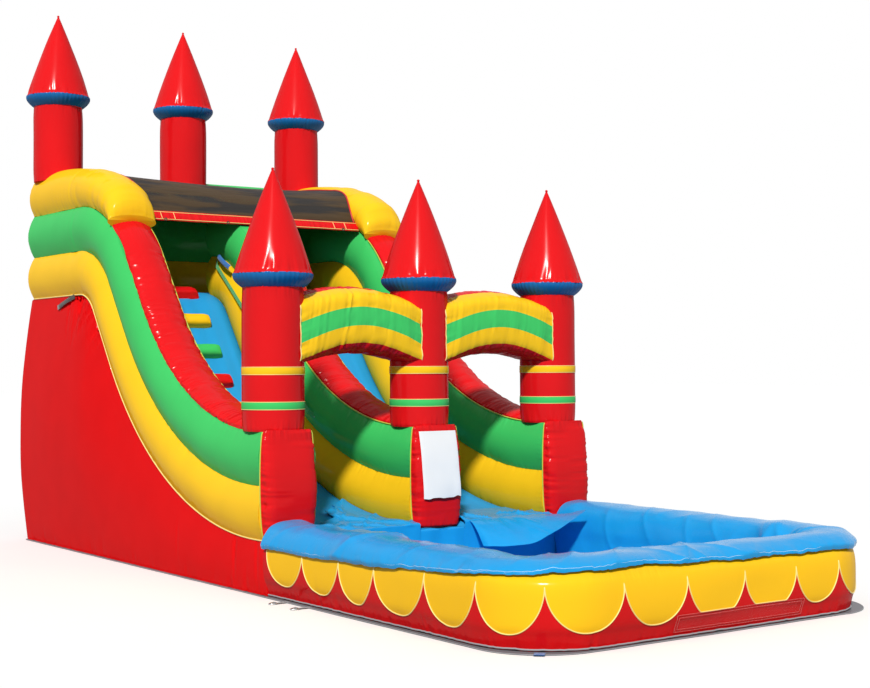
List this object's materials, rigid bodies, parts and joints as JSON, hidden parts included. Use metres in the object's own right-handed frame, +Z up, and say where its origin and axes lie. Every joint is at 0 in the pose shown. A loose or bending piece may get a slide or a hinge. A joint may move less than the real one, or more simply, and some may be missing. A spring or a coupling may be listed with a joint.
{
  "type": "inflatable water slide",
  "caption": "Inflatable water slide with a climbing lane and a slide lane between castle turrets, a net roof over its platform and a splash pool at its foot.",
  "frame": {"origin": "on the ground, under the middle front turret's axis", "axes": "+X to the right for someone who faces the slide from the pool, +Y to the back, +Z up"},
  "size_m": [3.768, 8.8996, 5.515],
  "materials": {
    "red_vinyl": "glossy",
    "yellow_vinyl": "glossy",
    "green_vinyl": "glossy",
    "blue_vinyl": "semi-gloss",
    "deep_blue_vinyl": "glossy",
    "net": "matte woven mesh",
    "ground_fabric": "matte coated fabric",
    "ring_steel": "zinc plated"
  },
  "bodies": {
    "slide": {"ground_sheet": "ground_fabric", "slide_base": "red_vinyl", "climb_bed": "blue_vinyl", "slide_bed": "blue_vinyl", "climb_step_1": "green_vinyl", "climb_step_2": "yellow_vinyl", "climb_step_3": "red_vinyl", "climb_step_4": "green_vinyl", "climb_step_5": "yellow_vinyl", "climb_step_6": "red_vinyl", "climb_step_7": "green_vinyl", "climb_step_8": "yellow_vinyl", "climb_step_9": "red_vinyl", "left_wall_yellow": "yellow_vinyl", "left_wall_green": "green_vinyl", "left_wall_cap": "red_vinyl", "left_top_tube": "yellow_vinyl", "right_wall_yellow": "yellow_vinyl", "right_wall_green": "green_vinyl", "right_wall_cap": "red_vinyl", "right_top_tube": "yellow_vinyl", "divider_yellow": "yellow_vinyl", "divider_green": "green_vinyl", "divider_cap": "red_vinyl", "rear_wall_yellow": "yellow_vinyl", "rear_wall_green": "green_vinyl", "rear_beam": "green_vinyl", "front_left_column": "red_vinyl", "front_left_ring": "deep_blue_vinyl", "front_left_cone": "red_vinyl", "front_middle_column": "red_vinyl", "front_middle_ring": "deep_blue_vinyl", "front_middle_cone": "red_vinyl", "front_right_column": "red_vinyl", "front_right_ring": "deep_blue_vinyl", "front_right_cone": "red_vinyl", "rear_left_column": "red_vinyl", "rear_left_ring": "deep_blue_vinyl", "rear_left_cone": "red_vinyl", "rear_middle_column": "red_vinyl", "rear_middle_ring": "deep_blue_vinyl", "rear_middle_cone": "red_vinyl", "rear_right_column": "red_vinyl", "rear_right_ring": "deep_blue_vinyl", "rear_right_cone": "red_vinyl", "left_arch": "yellow_vinyl", "right_arch": "yellow_vinyl", "roof_net": "net", "roof_band": "red_vinyl", "pool_wall": "red_vinyl", "pool_liner": "blue_vinyl", "hand_strap": "green_vinyl", "inflation_sleeve": "red_vinyl"},
    "flap": {"splash_flap": "blue_vinyl"},
    "ring_left_front": {"anchor_ring_left_front": "ring_steel"},
    "ring_left_pool": {"anchor_ring_left_pool": "ring_steel"},
    "ring_right_front": {"anchor_ring_right_front": "ring_steel"},
    "ring_right_pool": {"anchor_ring_right_pool": "ring_steel"},
    "ring_rear_left": {"anchor_ring_rear_left": "ring_steel"},
    "ring_rear_right": {"anchor_ring_rear_right": "ring_steel"}
  },
  "joints": [
    {"name": "flap_hinge", "type": "hinge", "parent": "slide", "child": "flap", "pos_m": [0.725, 0.284, 0.4931], "axis": [-1, 0, 0], "range_deg": [0, 60]},
    {"name": "ring_left_front_hinge", "type": "hinge", "parent": "slide", "child": "ring_left_front", "pos_m": [-1.83, -0.68, 0.0087], "axis": [0, 1, 0], "range_deg": [0, 170]},
    {"name": "ring_left_pool_hinge", "type": "hinge", "parent": "slide", "child": "ring_left_pool", "pos_m": [-1.83, -1, 0.0087], "axis": [0, 1, 0], "range_deg": [0, 170]},
    {"name": "ring_right_front_hinge", "type": "hinge", "parent": "slide", "child": "ring_right_front", "pos_m": [1.83, -0.68, 0.0087], "axis": [0, -1, 0], "range_deg": [0, 170]},
    {"name": "ring_right_pool_hinge", "type": "hinge", "parent": "slide", "child": "ring_right_pool", "pos_m": [1.83, -1, 0.0087], "axis": [0, -1, 0], "range_deg": [0, 170]},
    {"name": "ring_rear_left_hinge", "type": "hinge", "parent": "slide", "child": "ring_rear_left", "pos_m": [-1.25, 4.86, 0.0087], "axis": [1, 0, 0], "range_deg": [0, 170]},
    {"name": "ring_rear_right_hinge", "type": "hinge", "parent": "slide", "child": "ring_rear_right", "pos_m": [1.25, 4.86, 0.0087], "axis": [1, 0, 0], "range_deg": [0, 170]}
  ]
}
